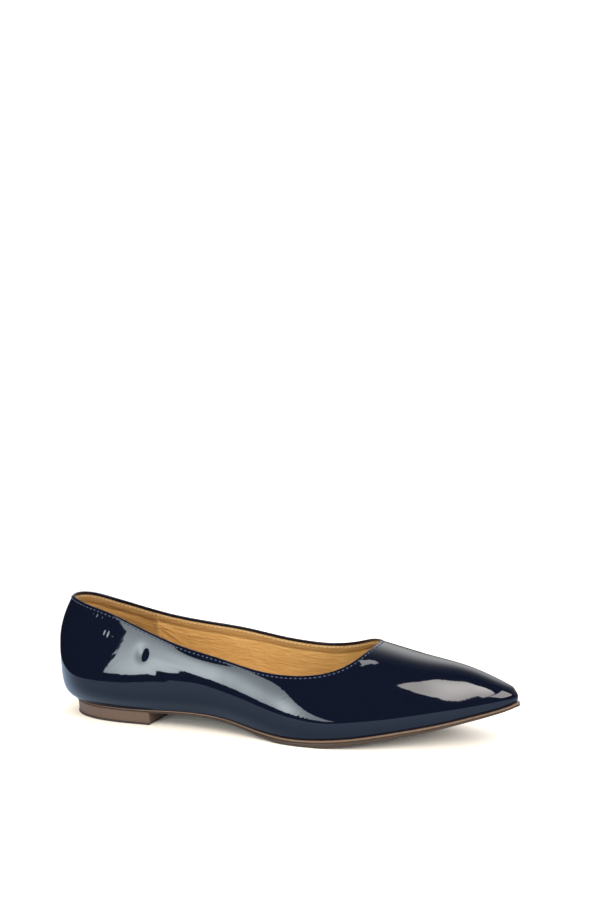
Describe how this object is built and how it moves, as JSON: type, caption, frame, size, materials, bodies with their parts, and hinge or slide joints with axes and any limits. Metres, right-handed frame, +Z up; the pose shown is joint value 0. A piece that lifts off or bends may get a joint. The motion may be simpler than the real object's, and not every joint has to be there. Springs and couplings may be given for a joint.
{
  "type": "pointed toe flat shoe",
  "caption": "Low-cut pointed toe flat shoe with a scooped topline, a beaded thin outsole and a low block heel.",
  "frame": {"origin": "on the floor, under the middle of the shoe's box", "axes": "+X towards the toe, +Z up, +Y towards the inner side of this right shoe"},
  "size_m": [0.265, 0.0794, 0.0673],
  "materials": {
    "patent_upper": "navy patent leather with a thick clear glossy coat, lined with smooth tan leather",
    "sock_lining": "smooth tan lining leather with fine wrinkles, satin",
    "sole_rubber": "taupe moulded rubber, satin, with a paler bead along the top edge",
    "heel_rubber": "taupe moulded rubber block, satin",
    "tread_rubber": "dark brown rubber, matt, ribbed"
  },
  "bodies": {
    "root": {"upper": "patent_upper", "insole": "sock_lining", "outsole": "sole_rubber", "heel": "heel_rubber", "heel_top_piece": "tread_rubber"}
  },
  "joints": []
}
